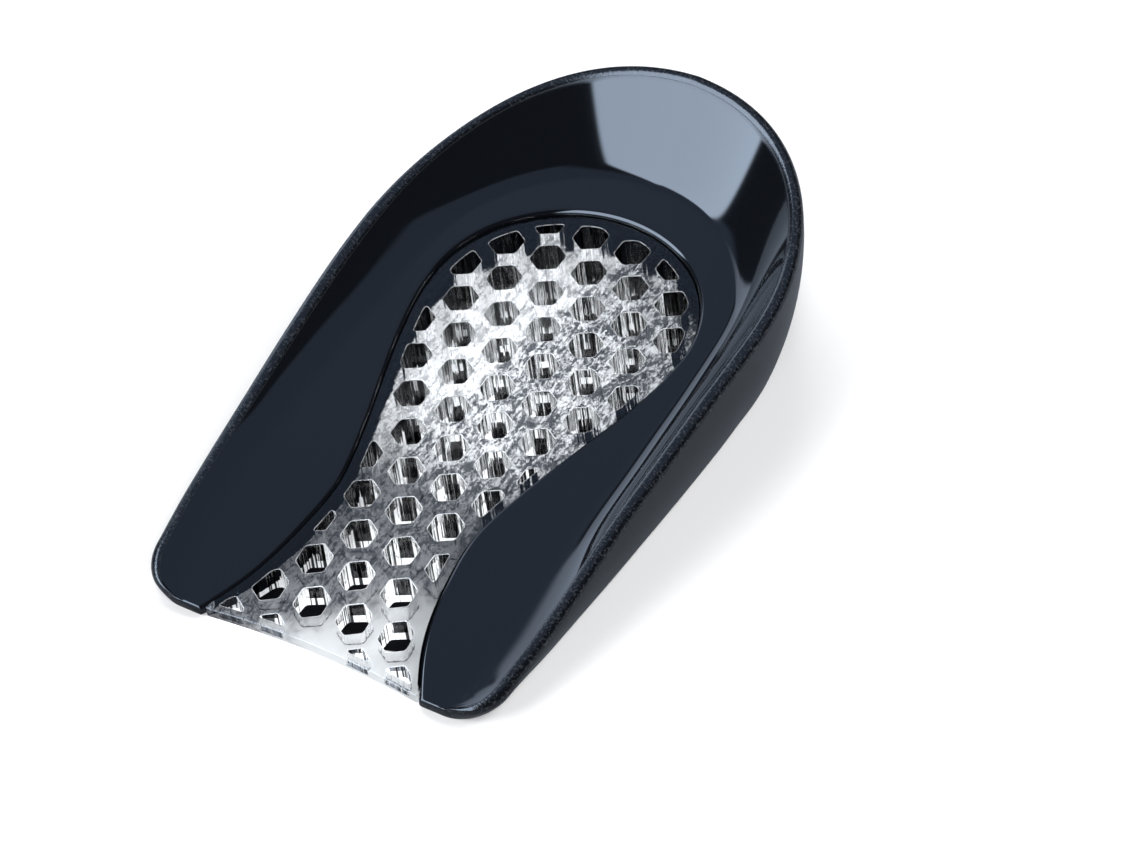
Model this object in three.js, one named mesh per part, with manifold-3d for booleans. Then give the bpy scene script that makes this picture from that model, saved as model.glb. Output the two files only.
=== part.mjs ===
// Heel cup for a shoe: a black moulded shell around a clear honeycomb cushion.
// Millimetres, +Z up. The heel is at +Y, the open front at -Y, and the base rests on z = 0.

import * as THREE from 'three';
import { mergeGeometries, mergeVertices } from 'three/addons/utils/BufferGeometryUtils.js';
import Module from 'manifold-3d';

const wasm = await Module();
wasm.setup();

// Driving dimensions of the whole cup
const FRONT_Y = -54;
const TURN_Y = 12.5;
const CLEARANCE = 0.3;

// Wedge under the cup: rise for each millimetre towards the heel, and where it adds nothing
const HEEL_LIFT = 0.05;
const LIFT_Y = -30;

// Plan of the heel end: half-ellipses about (0, TURN_Y), given as half-width and reach
const HEEL_WINDOW = { halfWidth: 21.2, reach: 19.7, power: 2 };
const HEEL_RIM = { halfWidth: 33, reach: 41.5, power: 2.15 };
const HEEL_BASE = { halfWidth: 30.5, reach: 36, power: 2.15 };

// Shell sections across the straight arm, front to heel: half-widths of the cushion window, the rim
// and the base, heights of the floor and the rim before the wedge, and the curve that joins them, as its
// width and power
const ARM_SECTIONS = [
  { y: -54, window: 18.5, rim: 29.9, base: 29.1, floor: 2.7, rimTop: 3.7, run: 4.0, power: 2.4 },
  { y: -48, window: 15.3, rim: 30.2, base: 29.4, floor: 4.0, rimTop: 5.1, run: 4.5, power: 2.4 },
  { y: -42, window: 13.3, rim: 30.8, base: 29.9, floor: 5.1, rimTop: 6.2, run: 5.0, power: 2.4 },
  { y: -36, window: 12.2, rim: 31.2, base: 30.2, floor: 6.0, rimTop: 7.3, run: 5.2, power: 2.4 },
  { y: -29, window: 11.7, rim: 31.5, base: 30.4, floor: 6.8, rimTop: 8.6, run: 5.4, power: 2.4 },
  { y: -22, window: 12.9, rim: 31.7, base: 30.6, floor: 7.3, rimTop: 10.0, run: 5.6, power: 2.4 },
  { y: -14, window: 15.1, rim: 32.1, base: 30.7, floor: 7.7, rimTop: 11.3, run: 5.8, power: 2.4 },
  { y: -6, window: 17.6, rim: 32.5, base: 30.8, floor: 8.0, rimTop: 12.4, run: 6.0, power: 2.3 },
  { y: 2, window: 19.8, rim: 32.8, base: 30.8, floor: 8.1, rimTop: 13.4, run: 6.2, power: 2.1 },
  { y: 8, window: 20.9, rim: 32.95, base: 30.7, floor: 8.2, rimTop: 13.9, run: 6.3, power: 1.9 },
  { y: TURN_Y, window: 21.2, rim: 33, base: 30.5, floor: 8.2, rimTop: 14.1, run: 6.4, power: 1.75 },
];

// Shell sections round the heel: degrees of turn from the side to the back, heights and the same curve
const HEEL_SECTIONS = [
  { turn: 0, floor: 8.2, rimTop: 14.1, run: 6.4, power: 1.75 },
  { turn: 22.5, floor: 8.2, rimTop: 14.6, run: 7.8, power: 1.5 },
  { turn: 45, floor: 8.2, rimTop: 16.2, run: 10.2, power: 1.45 },
  { turn: 67.5, floor: 8.2, rimTop: 17.8, run: 11.4, power: 1.45 },
  { turn: 90, floor: 8.2, rimTop: 18.8, run: 11.9, power: 1.45 },
];

// Rounding of the shell: arm tips in plan and in height, rim bead, window lip and base edge
const TIP_RADIUS = 6;
const TIP_EDGE = 1.2;
const RIM_BEAD = 1.2;
const WINDOW_LIP = 0.7;
const BASE_ROUND = 2.2;

// Honeycomb cushion: corner-to-corner hole size, pitch, solid borders and depth below the shell floor
const HOLE_CORNERS = 5.5;
const HOLE_PITCH = 7.2;
const ROW_STEP = HOLE_PITCH * Math.sqrt(3) / 2;
const FIRST_ROW_Y = 27.9;
const ROW_COUNT = 14;
const ROW_SHIFT_X = -0.4;
const CUSHION_BORDER = 1.5;
const FRONT_BORDER = 1;
const CUSHION_RECESS = 0.9;
const FRONT_BOW = 1.2;

// Mesh steps along and across the shell
const TIP_STEPS = 6;
const ARM_STEPS = 17;
const HEEL_STEPS = 12;
const WALL_STEPS = 6;
const BOW_STEPS = 8;

/** Interpolates a table smoothly: returns a function from a key value to a row of the same columns. */
function smoothTable(rows, key) {
  const columns = Object.keys(rows[0]).filter((name) => name !== key);
  const positions = rows.map((row) => row[key]);
  const values = rows.flatMap((row) => columns.map((name) => row[name]));
  const curve = new THREE.CubicInterpolant(positions, values, columns.length, []);
  return (at) => {
    const result = curve.evaluate(at);
    return Object.fromEntries(columns.map((name, index) => [name, result[index]]));
  };
}

const armAt = smoothTable(ARM_SECTIONS, 'y');
const heelAt = smoothTable(HEEL_SECTIONS, 'turn');

/** Height that the wedge adds at a distance along the cup. */
function lift(y) {
  return HEEL_LIFT * (y - LIFT_Y);
}

/** Point of a heel half-ellipse at a turn in degrees, on the right-hand side. */
function heelPoint({ halfWidth, reach, power }, turn) {
  const angle = THREE.MathUtils.degToRad(turn);
  const across = Math.max(Math.cos(angle), 0) ** (2 / power);
  const along = Math.sin(angle) ** (2 / power);
  return new THREE.Vector2(halfWidth * across, TURN_Y + reach * along);
}

/** One station across the right arm, with the round tip taken off its width and height. */
function armStation(y) {
  const row = armAt(y);
  const intoTip = Math.max(FRONT_Y + TIP_RADIUS - y, 0) / TIP_RADIUS;
  const fullness = Math.sqrt(1 - Math.min(intoTip, 1) ** 2);
  const corner = TIP_RADIUS * (1 - fullness);
  const height = (full) => TIP_EDGE + (full - TIP_EDGE) * Math.sqrt(fullness);
  return {
    window: new THREE.Vector2(row.window, y),
    rim: new THREE.Vector2(row.rim - corner, y),
    base: new THREE.Vector2(row.base - corner, y),
    floor: height(row.floor + lift(y)),
    rimTop: height(row.rimTop + lift(y)),
    run: row.run * (0.4 + 0.6 * fullness),
    power: row.power,
  };
}

/** One station round the right half of the heel. */
function heelStation(turn) {
  const row = heelAt(turn);
  const window = heelPoint(HEEL_WINDOW, turn);
  const rim = heelPoint(HEEL_RIM, turn);
  return {
    ...row,
    window,
    rim,
    base: heelPoint(HEEL_BASE, turn),
    floor: row.floor + lift(window.y),
    rimTop: row.rimTop + lift(rim.y),
  };
}

/** Stations of the right half, from the tip of the arm to the back of the heel. */
function halfStations() {
  const stations = [];
  for (let step = 0; step < TIP_STEPS; step += 1) {
    const angle = (step / TIP_STEPS) * Math.PI / 2;
    stations.push(armStation(FRONT_Y + TIP_RADIUS * (1 - Math.cos(angle))));
  }
  for (let step = 0; step < ARM_STEPS; step += 1) {
    stations.push(armStation(THREE.MathUtils.lerp(FRONT_Y + TIP_RADIUS, TURN_Y, step / ARM_STEPS)));
  }
  for (let step = 0; step <= HEEL_STEPS; step += 1) {
    stations.push(heelStation(90 * step / HEEL_STEPS));
  }
  return stations;
}

/** Closed section of the shell: distance out from the window edge, and height. */
function sectionProfile(station) {
  const { window, rim, base, floor, rimTop, run, power } = station;
  const width = window.distanceTo(rim);
  const baseWidth = window.distanceTo(base);
  const bead = Math.min(RIM_BEAD, 0.35 * rimTop);
  const wallTop = rimTop - 0.5 * bead;
  const crease = width - 2 * bead - run;
  const round = Math.min(BASE_ROUND, 0.4 * rimTop);
  const points = [[0, 0], [0, floor - WINDOW_LIP], [0.3 * WINDOW_LIP, floor - 0.3 * WINDOW_LIP],
    [WINDOW_LIP, floor], [(WINDOW_LIP + crease) / 2, floor]];
  for (let step = 0; step <= WALL_STEPS; step += 1) {
    const share = step / WALL_STEPS;
    points.push([crease + run * share, floor + (wallTop - floor) * share ** power]);
  }
  points.push([width - 1.4 * bead, rimTop], [width - 0.6 * bead, rimTop],
    [width, rimTop - 0.6 * bead]);
  for (const share of [0.75, 0.5, 0.25]) {
    const bulge = 0.5 * (1 - (2 * share - 1) ** 2);
    points.push([
      THREE.MathUtils.lerp(baseWidth, width, share) + 0.4 * bulge,
      THREE.MathUtils.lerp(round, rimTop - bead, share),
    ]);
  }
  points.push([baseWidth, round], [baseWidth - 0.3 * round, 0.3 * round], [baseWidth - round, 0],
    [0.5 * (baseWidth - round), 0]);
  return points.map(([out, z]) => new THREE.Vector2(out, z));
}

/** Places a section's points in space, on the right (side 1) or mirrored to the left (side -1). */
function placeSection(station, side) {
  const outward = station.rim.clone().sub(station.window).normalize();
  return sectionProfile(station).map((point) => new THREE.Vector3(
    side * (station.window.x + outward.x * point.x),
    station.window.y + outward.y * point.x,
    point.y,
  ));
}

/** Closed body lofted through rings of equal length, capped at both ends. */
function loftGeometry(rings) {
  const size = rings[0].length;
  const positions = rings.flat().flatMap((point) => point.toArray());
  const indices = [];
  for (let ring = 0; ring + 1 < rings.length; ring += 1) {
    for (let side = 0; side < size; side += 1) {
      const next = (side + 1) % size;
      const [a, b] = [ring * size + side, ring * size + next];
      const [c, d] = [a + size, b + size];
      indices.push(a, b, c, b, d, c);
    }
  }
  const capOutline = rings[0].map((point) => new THREE.Vector2(point.x, point.z));
  const lastRing = (rings.length - 1) * size;
  for (const [a, b, c] of THREE.ShapeUtils.triangulateShape(capOutline, [])) {
    indices.push(a, b, c, lastRing + a, lastRing + c, lastRing + b);
  }
  const geometry = new THREE.BufferGeometry();
  geometry.setAttribute('position', new THREE.Float32BufferAttribute(positions, 3));
  geometry.setIndex(indices);
  return geometry;
}

/** Turns a closed geometry into a solid for cutting. */
function toSolid(geometry) {
  const bare = geometry.clone();
  bare.deleteAttribute('normal');
  bare.deleteAttribute('uv');
  const merged = mergeVertices(bare, 1e-4);
  return new wasm.Manifold(new wasm.Mesh({
    numProp: 3,
    vertProperties: new Float32Array(merged.attributes.position.array),
    triVerts: new Uint32Array(merged.index.array),
  }));
}

/** Turns a cut solid back into a geometry. */
function toGeometry(solid) {
  const mesh = solid.getMesh();
  const geometry = new THREE.BufferGeometry();
  geometry.setAttribute('position', new THREE.Float32BufferAttribute(mesh.vertProperties, 3));
  geometry.setIndex([...mesh.triVerts]);
  geometry.computeVertexNormals();
  return geometry;
}

/** Window outline pulled in by a distance, from the right front corner round the heel to the left one. */
function windowOutline(stations, inset, frontInset) {
  const edge = stations.map((station) => station.window);
  const right = edge.map((point, index) => {
    const before = edge[Math.max(index - 1, 0)];
    const after = edge[Math.min(index + 1, edge.length - 1)];
    const along = after.clone().sub(before).normalize();
    return new THREE.Vector2(point.x - along.y * inset, point.y + along.x * inset);
  }).filter((point) => point.y > FRONT_Y + frontInset);
  right[right.length - 1].x = 0;
  const corner = armAt(FRONT_Y + frontInset).window - 1.15 * inset;
  right.unshift(new THREE.Vector2(corner, FRONT_Y + frontInset));
  const left = right.slice(0, -1).reverse().map((point) => new THREE.Vector2(-point.x, point.y));
  const front = [];
  for (let step = 1; step < BOW_STEPS; step += 1) {
    const across = 2 * step / BOW_STEPS - 1;
    front.push(new THREE.Vector2(corner * across, FRONT_Y + frontInset + FRONT_BOW * (1 - across ** 2)));
  }
  return [...right, ...left, ...front];
}

/** Upright prism on an outline, from below the base to above the cushion. */
function prismSolid(outline) {
  const geometry = new THREE.ExtrudeGeometry(new THREE.Shape(outline), { depth: 16, bevelEnabled: false });
  return toSolid(geometry.translate(0, 0, -2));
}

/** Height of the cushion's top at a distance along the cup. */
function cushionTop(y) {
  const floor = armAt(Math.min(y, TURN_Y)).floor;
  const depth = THREE.MathUtils.smoothstep(y, FRONT_Y, -20);
  return floor + lift(y) - CUSHION_RECESS * depth;
}

/** Body between the flat base and the cushion's top, wider than the cushion. */
function cushionLayer() {
  const side = new THREE.Shape();
  side.moveTo(FRONT_Y - 4, 0);
  side.lineTo(FRONT_Y - 4, cushionTop(FRONT_Y));
  for (let y = FRONT_Y; y <= -12; y += 4) side.lineTo(y, cushionTop(y));
  side.lineTo(TURN_Y, cushionTop(TURN_Y));
  side.lineTo(TURN_Y + 30, cushionTop(TURN_Y + 30));
  side.lineTo(TURN_Y + 30, 0);
  const geometry = new THREE.ExtrudeGeometry(side, { depth: 60, bevelEnabled: false });
  geometry.translate(0, 0, -30);
  geometry.applyMatrix4(new THREE.Matrix4().makeBasis(
    new THREE.Vector3(0, 1, 0), new THREE.Vector3(0, 0, 1), new THREE.Vector3(1, 0, 0)));
  return toSolid(geometry);
}

/** True where a hole's centre lies inside the cushion, clear of its edge. */
function holeFits(x, y) {
  const beyondTurn = Math.max(y - TURN_Y, 0) / HEEL_WINDOW.reach;
  if (beyondTurn >= 1 || y < FRONT_Y) return false;
  const halfWidth = y > TURN_Y ? HEEL_WINDOW.halfWidth * Math.sqrt(1 - beyondTurn ** 2) : armAt(y).window;
  return Math.abs(x) < halfWidth - CLEARANCE;
}

/** All hexagonal wells, in staggered rows with corners towards the heel and the front. */
function honeycombWells() {
  const wells = [];
  for (let row = 0; row < ROW_COUNT; row += 1) {
    const y = FIRST_ROW_Y - row * ROW_STEP;
    const stagger = row % 2 === 0 ? 0.5 : 0;
    for (let column = -4; column <= 4; column += 1) {
      const x = ROW_SHIFT_X + (column + stagger) * HOLE_PITCH;
      if (!holeFits(x, y)) continue;
      const well = new THREE.CylinderGeometry(HOLE_CORNERS / 2, HOLE_CORNERS / 2, 16, 6);
      wells.push(well.rotateX(Math.PI / 2).translate(x, y, 4));
    }
  }
  return toSolid(mergeGeometries(wells));
}

/** Shell lofted round the open window, right arm to left arm. */
function buildShell(stations) {
  const right = stations.map((station) => placeSection(station, 1));
  const left = stations.slice(0, -1).reverse().map((station) => placeSection(station, -1));
  const geometry = loftGeometry([...right, ...left]);
  geometry.computeVertexNormals();
  return geometry;
}

/** Cushion that fills the window, with its wells cut through inside a solid border. */
function buildCushion(stations) {
  const body = prismSolid(windowOutline(stations, CLEARANCE, 0)).intersect(cushionLayer());
  const pierced = prismSolid(windowOutline(stations, CLEARANCE + CUSHION_BORDER, FRONT_BORDER));
  return toGeometry(body.subtract(honeycombWells().intersect(pierced)));
}

const shellRubber = new THREE.MeshStandardMaterial({ color: 0x14181f, roughness: 0.22, metalness: 0 });
const clearGel = new THREE.MeshStandardMaterial({
  color: 0xe4e8ea, roughness: 0.12, metalness: 0, transparent: true, opacity: 0.45,
});

const stations = halfStations();
const shell = new THREE.Mesh(buildShell(stations), shellRubber);
shell.name = 'cup_shell';
const cushion = new THREE.Mesh(buildCushion(stations), clearGel);
cushion.name = 'gel_honeycomb_pad';

const heelCup = new THREE.Group();
heelCup.add(shell, cushion);

export default heelCup;
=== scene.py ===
"""Dresses the heel cup: a glossy black shell round a clear honeycomb gel pad, on a pale floor."""

import logging
import math
from dataclasses import dataclass, field
from enum import Enum
from typing import NamedTuple

import bpy
import numpy as np
from mathutils import Matrix, Vector
from mathutils.geometry import delaunay_2d_cdt

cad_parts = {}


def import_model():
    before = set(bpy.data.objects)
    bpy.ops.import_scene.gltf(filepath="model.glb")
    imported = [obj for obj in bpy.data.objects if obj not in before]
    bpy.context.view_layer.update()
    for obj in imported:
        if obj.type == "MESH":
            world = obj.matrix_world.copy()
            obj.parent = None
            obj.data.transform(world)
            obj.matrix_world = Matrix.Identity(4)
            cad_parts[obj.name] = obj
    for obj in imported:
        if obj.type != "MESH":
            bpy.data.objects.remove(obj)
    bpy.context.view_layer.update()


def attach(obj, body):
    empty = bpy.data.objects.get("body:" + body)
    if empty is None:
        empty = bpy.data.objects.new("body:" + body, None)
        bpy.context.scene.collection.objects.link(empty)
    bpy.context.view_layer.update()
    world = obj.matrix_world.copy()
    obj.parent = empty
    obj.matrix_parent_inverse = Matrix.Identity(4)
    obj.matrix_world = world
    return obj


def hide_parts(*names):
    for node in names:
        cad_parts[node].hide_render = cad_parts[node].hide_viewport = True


MM = 0.001
PHOTO_SIZE = (1140, 855)

# What filling a plan outline gives back, and how near two of its points count as one
INSIDE_TRIANGLES = 1
WELD_GAP = 1e-7

# A colour with its opacity, a direction, the two ends of a change, and a node's input or output
Colour = tuple[float, float, float, float]
Way = tuple[float, float, float]
Span = tuple[float, float]
Socket = bpy.types.NodeSocket

log = logging.getLogger("heel_cup")


class ArmSection(NamedTuple):
    """A section across one arm, in millimetres: half-widths, heights, the wall's run and its power."""

    y: float
    window: float
    rim: float
    base: float
    floor: float
    rim_top: float
    run: float
    power: float


class HeelSection(NamedTuple):
    """A section round the heel: degrees of turn from side to back, heights, the wall's run and power."""

    turn: float
    floor: float
    rim_top: float
    run: float
    power: float


class HalfEllipse(NamedTuple):
    """Plan of a heel curve about the turning point: half-width, reach to the back, and power."""

    half_width: float
    reach: float
    power: float


ARM_SECTIONS = (
    ArmSection(-54, 18.5, 29.9, 29.1, 2.7, 3.7, 4.0, 2.4),
    ArmSection(-48, 15.3, 30.2, 29.4, 4.0, 5.1, 4.5, 2.4),
    ArmSection(-42, 13.3, 30.8, 29.9, 5.1, 6.2, 5.0, 2.4),
    ArmSection(-36, 12.2, 31.2, 30.2, 6.0, 7.3, 5.2, 2.4),
    ArmSection(-29, 11.7, 31.5, 30.4, 6.8, 8.6, 5.4, 2.4),
    ArmSection(-22, 12.9, 31.7, 30.6, 7.3, 10.0, 5.6, 2.4),
    ArmSection(-14, 15.1, 32.1, 30.7, 7.7, 11.3, 5.8, 2.4),
    ArmSection(-6, 17.6, 32.5, 30.8, 8.0, 12.4, 6.0, 2.3),
    ArmSection(2, 19.8, 32.8, 30.8, 8.1, 13.4, 6.2, 2.1),
    ArmSection(8, 20.9, 32.95, 30.7, 8.2, 13.9, 6.3, 1.9),
    ArmSection(12.5, 21.2, 33, 30.5, 8.2, 14.1, 6.4, 1.75),
)

HEEL_SECTIONS = (
    HeelSection(0, 8.2, 14.1, 6.4, 1.75),
    HeelSection(22.5, 8.2, 14.6, 7.8, 1.5),
    HeelSection(45, 8.2, 16.2, 10.2, 1.45),
    HeelSection(67.5, 8.2, 17.8, 11.4, 1.45),
    HeelSection(90, 8.2, 18.8, 11.9, 1.45),
)


def natural_spline(knots: np.ndarray, values: np.ndarray, at: np.ndarray) -> np.ndarray:
    """Natural cubic spline: the smooth curve through the knots with no bend at either end.

    The second slopes solve a tridiagonal system, and each span is then a cubic between two knots.

    Args:
        knots: Rising positions of the table's rows.
        values: The column's value at each row.
        at: Positions to work out.

    Returns:
        The spline's value at each position.
    """
    step = np.diff(knots)
    slope = np.diff(values) / step
    inner = np.diag(2 * (step[:-1] + step[1:])) + np.diag(step[1:-1], 1) + np.diag(step[1:-1], -1)
    bend = np.concatenate([[0.0], np.linalg.solve(inner, 6 * np.diff(slope)), [0.0]])
    span = np.clip(np.searchsorted(knots, at) - 1, 0, len(step) - 1)
    left, right = at - knots[span], knots[span + 1] - at
    width = step[span]
    cubic = (bend[span] * right**3 + bend[span + 1] * left**3) / (6 * width)
    start = (values[span] / width - bend[span] * width / 6) * right
    end = (values[span + 1] / width - bend[span + 1] * width / 6) * left
    return cubic + start + end


def table_column(rows: tuple[ArmSection | HeelSection, ...], key: str, name: str,
                 at: np.ndarray) -> np.ndarray:
    """Carries one column of a table of sections smoothly between its rows.

    Args:
        rows: The table.
        key: Name of the column that gives the rows' positions.
        name: Name of the column to carry.
        at: Positions to work out.

    Returns:
        The column's value at each position.
    """
    knots = np.array([getattr(row, key) for row in rows], float)
    values = np.array([getattr(row, name) for row in rows], float)
    return natural_spline(knots, values, at)


def unit_rows(vectors: np.ndarray) -> np.ndarray:
    """Rows of an array scaled to length one."""
    return vectors / np.linalg.norm(vectors, axis=-1, keepdims=True)


def even_steps(count: int) -> np.ndarray:
    """A row of even steps that starts at 0 and stops short of 1."""
    return np.linspace(0, 1, count, endpoint=False)[None, :]


def with_mirror(half: np.ndarray) -> np.ndarray:
    """Joins the right half's rows to their mirror images, which run back from the middle.

    Args:
        half: Points whose last axis starts with x, the last row being on the middle line.

    Returns:
        The rows of both halves, the middle one once.
    """
    mirrored = half[-2::-1].copy()
    mirrored[..., 0] *= -1
    return np.concatenate([half, mirrored])


@dataclass
class Stations:
    """Sections along half the cup, tip to heel: plan points of the edges, heights and wall shapes."""

    window: np.ndarray
    rim: np.ndarray
    base: np.ndarray
    floor: np.ndarray
    rim_top: np.ndarray
    run: np.ndarray
    power: np.ndarray


@dataclass(frozen=True)
class CupPlan:
    """The plan and heights that both pieces are worked out from, in millimetres."""

    front_y: float = -54.0
    turn_y: float = 12.5
    tip_radius: float = 6.0
    tip_edge: float = 1.2
    tip_bluntness: float = 0.2
    tip_run: float = 0.4
    heel_lift: float = 0.05
    lift_y: float = -30.0
    pad_recess: float = 0.9
    recess_full_y: float = -20.0
    window: HalfEllipse = HalfEllipse(21.2, 19.7, 2.0)
    rim: HalfEllipse = HalfEllipse(33.0, 41.5, 2.15)
    base: HalfEllipse = HalfEllipse(30.5, 36.0, 2.15)

    def lift(self, y: np.ndarray) -> np.ndarray:
        """Height that the wedge under the cup adds, rising evenly from the front to the heel."""
        return self.heel_lift * (y - self.lift_y)

    def heel_curve(self, shape: HalfEllipse, turn: np.ndarray) -> np.ndarray:
        """Superellipse about the turning point: cosine across and sine along, each to 2 / power.

        Args:
            shape: Half-width, reach and power of the curve.
            turn: Angles from the side towards the back, in radians.

        Returns:
            Plan points, one row for each angle.
        """
        across = shape.half_width * np.maximum(np.cos(turn), 0) ** (2 / shape.power)
        along = shape.reach * np.sin(turn) ** (2 / shape.power)
        return np.stack([across, self.turn_y + along], axis=1)

    def arm_half(self, y: np.ndarray) -> Stations:
        """Sections across the right arm, its tip rounded by a quarter circle in plan.

        The tip's heights follow a low power of that circle, so that its end is blunt.

        Args:
            y: Places along the cup, in millimetres.

        Returns:
            The sections.
        """
        column = {name: table_column(ARM_SECTIONS, "y", name, y) for name in ArmSection._fields[1:]}
        into_tip = np.clip((self.front_y + self.tip_radius - y) / self.tip_radius, 0, 1)
        fullness = np.sqrt(1 - into_tip**2)
        corner = self.tip_radius * (1 - fullness)
        rise = fullness**self.tip_bluntness
        floor, rim_top = column["floor"] + self.lift(y), column["rim_top"] + self.lift(y)
        return Stations(
            window=np.stack([column["window"], y], axis=1),
            rim=np.stack([column["rim"] - corner, y], axis=1),
            base=np.stack([column["base"] - corner, y], axis=1),
            floor=self.tip_edge + (floor - self.tip_edge) * rise,
            rim_top=self.tip_edge + (rim_top - self.tip_edge) * rise,
            run=column["run"] * (self.tip_run + (1 - self.tip_run) * fullness),
            power=column["power"],
        )

    def heel_half(self, turn: np.ndarray) -> Stations:
        """Sections round the right half of the heel.

        Args:
            turn: Angles from the side to the back, in radians.

        Returns:
            The sections.
        """
        degrees = np.degrees(turn)
        window, rim = self.heel_curve(self.window, turn), self.heel_curve(self.rim, turn)
        return Stations(
            window=window,
            rim=rim,
            base=self.heel_curve(self.base, turn),
            floor=table_column(HEEL_SECTIONS, "turn", "floor", degrees) + self.lift(window[:, 1]),
            rim_top=table_column(HEEL_SECTIONS, "turn", "rim_top", degrees) + self.lift(rim[:, 1]),
            run=table_column(HEEL_SECTIONS, "turn", "run", degrees),
            power=table_column(HEEL_SECTIONS, "turn", "power", degrees),
        )

    def half(self, tip_steps: int, arm_steps: int, heel_steps: int) -> Stations:
        """All sections of the right half, tip first, at even steps of each stretch.

        Args:
            tip_steps: How many sections the rounded tip has.
            arm_steps: How many the rest of the arm has.
            heel_steps: How many steps lead round the heel.

        Returns:
            The sections.
        """
        tip = np.arange(tip_steps) / tip_steps * np.pi / 2
        tip_y = self.front_y + self.tip_radius * (1 - np.cos(tip))
        arm_y = np.linspace(self.front_y + self.tip_radius, self.turn_y, arm_steps, endpoint=False)
        arm = self.arm_half(np.concatenate([tip_y, arm_y]))
        heel = self.heel_half(np.linspace(0, np.pi / 2, heel_steps + 1))
        joined = {name: np.concatenate([getattr(arm, name), getattr(heel, name)])
                  for name in Stations.__dataclass_fields__}
        return Stations(**joined)

    def pad_top(self, y: np.ndarray) -> np.ndarray:
        """Height of the gel's top: the shell's floor, less a recess that fades out at the front.

        Args:
            y: Places along the cup, in millimetres.

        Returns:
            The height at each place.
        """
        floor = table_column(ARM_SECTIONS, "y", "floor", np.minimum(y, self.turn_y))
        share = np.clip((y - self.front_y) / (self.recess_full_y - self.front_y), 0, 1)
        return floor + self.lift(y) - self.pad_recess * share**2 * (3 - 2 * share)


def make_object(name: str, vertices: np.ndarray, faces: list[np.ndarray]) -> bpy.types.Object:
    """Puts arrays of millimetre vertices and of faces into a new smooth mesh object.

    Args:
        name: The piece's name.
        vertices: Rows of x, y and z.
        faces: Index arrays, each with one face size.

    Returns:
        The object, linked into the scene.
    """
    mesh = bpy.data.meshes.new(name)
    rows = [row for block in faces for row in block.tolist()]
    mesh.from_pydata((vertices * MM).tolist(), [], rows)
    mesh.polygons.foreach_set("use_smooth", np.ones(len(mesh.polygons), bool))
    mesh.update()
    item = bpy.data.objects.new(name, mesh)
    bpy.context.scene.collection.objects.link(item)
    return item


def keep_values(item: bpy.types.Object, name: str, values: np.ndarray) -> None:
    """Keeps a value for each vertex on a piece's mesh, for its finish to read."""
    layer = item.data.attributes.new(name, "FLOAT", "POINT")
    layer.data.foreach_set("value", values.astype(np.float32))


def strip_faces(rings: int, size: int) -> np.ndarray:
    """Quads that join rings of vertices, each ring closed on itself.

    Args:
        rings: How many rings there are.
        size: How many vertices each ring has.

    Returns:
        Rows of four vertex numbers.
    """
    ring, side = np.meshgrid(np.arange(rings - 1), np.arange(size), indexing="ij")
    nxt = (side + 1) % size
    corner = ring * size
    quads = np.stack([corner + side, corner + nxt, corner + size + nxt, corner + size + side], axis=-1)
    return quads.reshape(-1, 4)


class NodeBoard:
    """Adds and joins nodes in one tree."""

    def __init__(self, tree: bpy.types.NodeTree) -> None:
        """Starts on an empty tree."""
        self.tree = tree
        tree.nodes.clear()

    def add(self, kind: str, settings: dict | None = None, **inputs: object) -> bpy.types.Node:
        """Makes a node.

        Args:
            kind: Blender's name of the node type.
            settings: Properties of the node itself.
            inputs: Values, or sockets to join, by input name with underscores for spaces.

        Returns:
            The new node.
        """
        node = self.tree.nodes.new(kind)
        for name, value in (settings or {}).items():
            setattr(node, name, value)
        for name, value in inputs.items():
            socket = node.inputs[name.replace("_", " ")]
            if isinstance(value, Socket):
                self.join(value, socket)
            else:
                socket.default_value = value
        return node

    def join(self, source: Socket, target: Socket) -> None:
        """Links one socket to another."""
        self.tree.links.new(source, target)

    def end(self, shader: Socket) -> None:
        """Makes a shader the material's surface."""
        self.join(shader, self.add("ShaderNodeOutputMaterial").inputs["Surface"])


def new_material(name: str) -> tuple[bpy.types.Material, NodeBoard]:
    """Makes a material with an empty node tree.

    Args:
        name: The material's name.

    Returns:
        The material, and the board to fill it with.
    """
    material = bpy.data.materials.new(name)
    material.use_nodes = True
    return material, NodeBoard(material.node_tree)


class Pattern(NamedTuple):
    """A grain's size in grains per metre along x, y and z, its finer layers and its swirl."""

    size: Way
    detail: float
    twist: float = 0.0


class Grain(Enum):
    """The patterns that the finishes are broken up with."""

    RIM = Pattern((2600.0, 2600.0, 2600.0), 3.0)
    CRINKLE = Pattern((900.0, 900.0, 900.0), 2.0)
    FLUTES = Pattern((1900.0, 1900.0, 25.0), 1.5)
    MOTTLE = Pattern((2300.0, 1700.0, 2000.0), 4.0, 0.8)
    STREAKS = Pattern((1500.0, 420.0, 1500.0), 3.0, 0.8)
    PATCHES = Pattern((420.0, 420.0, 420.0), 2.0, 0.5)
    TACK = Pattern((2300.0, 1700.0, 2000.0), 2.5, 1.5)


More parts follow.
